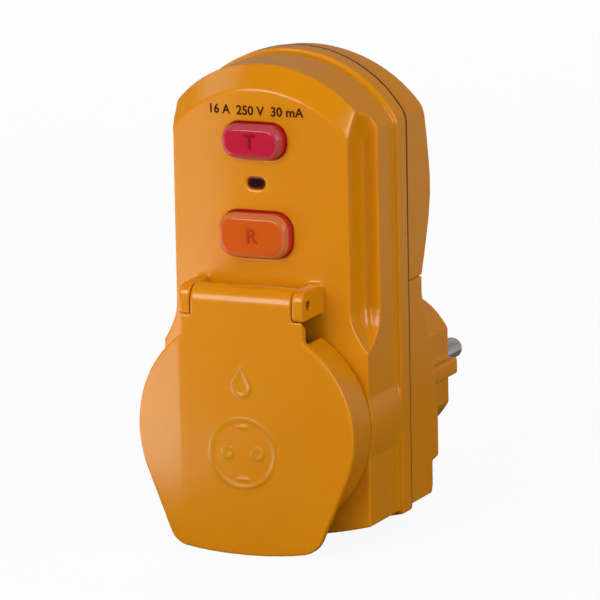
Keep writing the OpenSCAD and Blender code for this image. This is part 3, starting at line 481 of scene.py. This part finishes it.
# Inside: board, sensor, trip coil, switch and wires, closed in by the housing.
# Each has the plain finish of its kind, with a little variation.
INNER = {
    "flag_dark": (("indicator_flag",), (0.012, 0.010, 0.010), (0.020, 0.017, 0.016), 0.5),
    "flag_red": (("flag_red",), (0.48, 0.010, 0.008), (0.40, 0.008, 0.006), 0.5),
    "board_mask": (("circuit_board",), (0.012, 0.085, 0.030), (0.008, 0.060, 0.020), 0.3),
    "black_component": (("test_switch", "thyristor", "capacitor"),
                        (0.012, 0.012, 0.014), (0.022, 0.022, 0.024), 0.45),
    "resistor_lacquer": (("test_resistor",), (0.42, 0.29, 0.13), (0.34, 0.23, 0.10), 0.4),
    "core_coat": (("sensor_core",), (0.075, 0.078, 0.085), (0.055, 0.057, 0.062), 0.5),
    "bobbin_white": (("trip_bobbin", "contact_carriage"), (0.64, 0.62, 0.56), (0.56, 0.54, 0.48), 0.45),
    "brown_insulation": (("feed_wire_line",), (0.075, 0.024, 0.008), (0.055, 0.017, 0.006), 0.5),
    "blue_insulation": (("feed_wire_neutral",), (0.010, 0.030, 0.22), (0.008, 0.022, 0.17), 0.5),
    "varistor_lacquer": (("varistor",), (0.014, 0.060, 0.27), (0.010, 0.045, 0.21), 0.3),
}
for words, (members, light, deep, sheen) in INNER.items():
    inner = Finish(words)
    inner.feed(
        base_color=inner.blend(inner.noise(3 * mm), light, deep),
        roughness=sheen + 0.15 * inner.noise(0.8 * mm),
        normal=inner.relief(inner.noise(0.3 * mm), 0.008 * mm))
    for name in members:
        dress(nodes[name], inner)
copper = Finish("enamelled_copper", metallic=1.0)
copper.feed(
    base_color=copper.blend(copper.noise(0.4 * mm, 2.0, (6, 6, 1)), (0.62, 0.24, 0.10), (0.48, 0.17, 0.07)),
    roughness=0.26 + 0.12 * copper.noise(0.6 * mm),
    normal=copper.relief(copper.noise(0.25 * mm, 1.0, (20, 20, 1)), 0.02 * mm))
iron = Finish("plated_iron", metallic=1.0)
iron.feed(
    base_color=iron.blend(iron.noise(2 * mm), (0.42, 0.43, 0.45), (0.34, 0.35, 0.37)),
    roughness=0.32 + 0.14 * iron.noise(0.5 * mm))
for name in ("sensor_winding", "trip_winding"):
    dress(nodes[name], copper)
for name in ("trip_yoke", "trip_plunger"):
    dress(nodes[name], iron)

# Camera and light: a long lens from a little above and to the right, as the photograph was taken, over white
# paper in a dim warm room. A broad soft box stands in front on the left with a fill beside it, others stand
# on both sides and behind, and two glowing panels lie on the table for the sheen on the left flanks.
camera = add("camera", bpy.data.cameras.new("camera"))
bpy.context.scene.camera = camera
camera.data.sensor_width, camera.data.lens = 36.0, 416.09
camera.data.clip_start, camera.data.clip_end = 0.05, 20.0
azimuth, elevation, roll = (math.radians(a) for a in (24.207, 11.912, -1.13))
target, distance = Vector((1.244, -51.2, 24.6)) * mm, 1568.82 * mm


def direction(azimuth, elevation):
    """The way from the object at two angles, counted from its front to the right and upwards."""
    level = math.cos(elevation)
    return Vector((math.sin(azimuth) * level, -math.cos(azimuth) * level, math.sin(elevation)))


back = direction(azimuth, elevation)
side = Vector((math.cos(azimuth), math.sin(azimuth), 0))
up = back.cross(side)
right = math.cos(roll) * side + math.sin(roll) * up
up = math.cos(roll) * up - math.sin(roll) * side
turned = Matrix((right, up, back)).transposed().to_4x4()
camera.matrix_world = Matrix.Translation(target + back * distance) @ turned

FLOOR_HALF, FLOOR_GAP = 4.0, 0.1 * mm
floor_mesh = bpy.data.meshes.new("floor")
shape = bmesh.new()
bmesh.ops.create_grid(shape, x_segments=1, y_segments=1, size=FLOOR_HALF)
bmesh.ops.translate(shape, verts=shape.verts, vec=(0, 0, cad_box[0].z - FLOOR_GAP))
shape.to_mesh(floor_mesh)
shape.free()
floor = add("floor", floor_mesh)
paper = Finish("white_paper", roughness=0.9, specular_ior_level=0.1)
WHITE_SEEN, WHITE_MIRRORED = 0.93, 0.2
PAPER_DIM, PAPER_WHITE = (0.06, 0.06, 0.06), (0.80, 0.80, 0.80)
rays = paper.node("ShaderNodeLightPath", {}, {})
seen, glossy = rays[0], rays[3]
paper.feed(base_color=paper.blend(seen, PAPER_DIM, PAPER_WHITE))
glow = paper.node("ShaderNodeEmission", {}, {"Color": (1, 1, 1, 1), "Strength": 1.0})[0]
far = paper.node("ShaderNodeSeparateXYZ", {}, {0: paper.place})[1].above(0.15, 0.10)
mixed = paper.node("ShaderNodeMixShader", {}, {0: WHITE_SEEN * seen + WHITE_MIRRORED * glossy * far,
                                               1: Wire(paper, paper.shader.outputs[0]), 2: glow})[0]
paper.join(paper.tree.nodes["Material Output"].inputs[0], mixed)
dress(floor, paper)


class Studio(Finish):
    """The room round the object: white to the eye, bright behind the object, dim in front of it."""

    def __init__(self, name):
        world = bpy.data.worlds.new(name)
        bpy.context.scene.world = world
        world.use_nodes = True
        self.tree = world.node_tree
        self.shader = self.tree.nodes["Background"]


AMBIENT, AMBIENT_TINT, HORIZON = 0.20, (1.0, 0.84, 0.68), 0.95
MIRRORED_FRONT, MIRRORED_BACK = 0.02, 0.22
room = Studio("studio")
rays = room.node("ShaderNodeLightPath", {}, {})
seen, mirrored = rays[0], rays[3] + rays[6]
way = room.node("ShaderNodeTexCoord", {}, {})[0]
behind = room.node("ShaderNodeSeparateXYZ", {}, {0: way})[1].above(0.1, 0.5)
in_mirror = (MIRRORED_BACK - MIRRORED_FRONT) * behind + (MIRRORED_FRONT - AMBIENT)
room.feed(
    color=room.blend(seen + mirrored, AMBIENT_TINT, (1, 1, 1)),
    strength=AMBIENT + (HORIZON - AMBIENT) * seen + mirrored * in_mirror)


def panel(name, place, turn, size, power, mirrored=True):
    """A rectangular area lamp, hidden from the camera; mirrored says whether reflections show it."""
    lamp = bpy.data.lights.new(name, "AREA")
    lamp.shape, lamp.size, lamp.size_y, lamp.energy = "RECTANGLE", *size, power
    piece = add(name, lamp)
    piece.location, piece.rotation_euler = place, turn
    piece.visible_camera, piece.visible_glossy = False, mirrored


def soft_box(name, azimuth, elevation, distance, size, power, mirrored=True):
    """A panel that looks at the object's middle from two angles in degrees."""
    away = direction(math.radians(azimuth), math.radians(elevation))
    panel(name, target + away * distance, (-away).to_track_quat("-Z", "Y").to_euler(), size, power, mirrored)


def table_panel(name, x, y, turn, size, power):
    """A panel that lies on the table and faces up."""
    panel(name, (x, y, cad_box[0].z + 1 * mm), (math.pi, 0, math.radians(turn)), size, power)


soft_box("key_box", -15, 23, 1.5, (0.8, 0.8), 13.6)
soft_box("front_fill", 6, 4, 1.5, (0.8, 0.8), 6.8, False)
soft_box("left_panel", -88, 40, 1.2, (0.8, 0.5), 1.6)
soft_box("right_strip", 82, 20, 1.3, (0.7, 0.9), 10.4)
soft_box("back_box", 208, 12, 1.4, (0.9, 0.9), 11.0, False)
table_panel("table_far", -0.603, -0.335, 58, (0.95, 0.70), 2.4)
table_panel("table_near", -0.135, -0.183, 42, (0.19, 0.085), 0.12)

bpy.context.scene.view_settings.view_transform = "Standard"
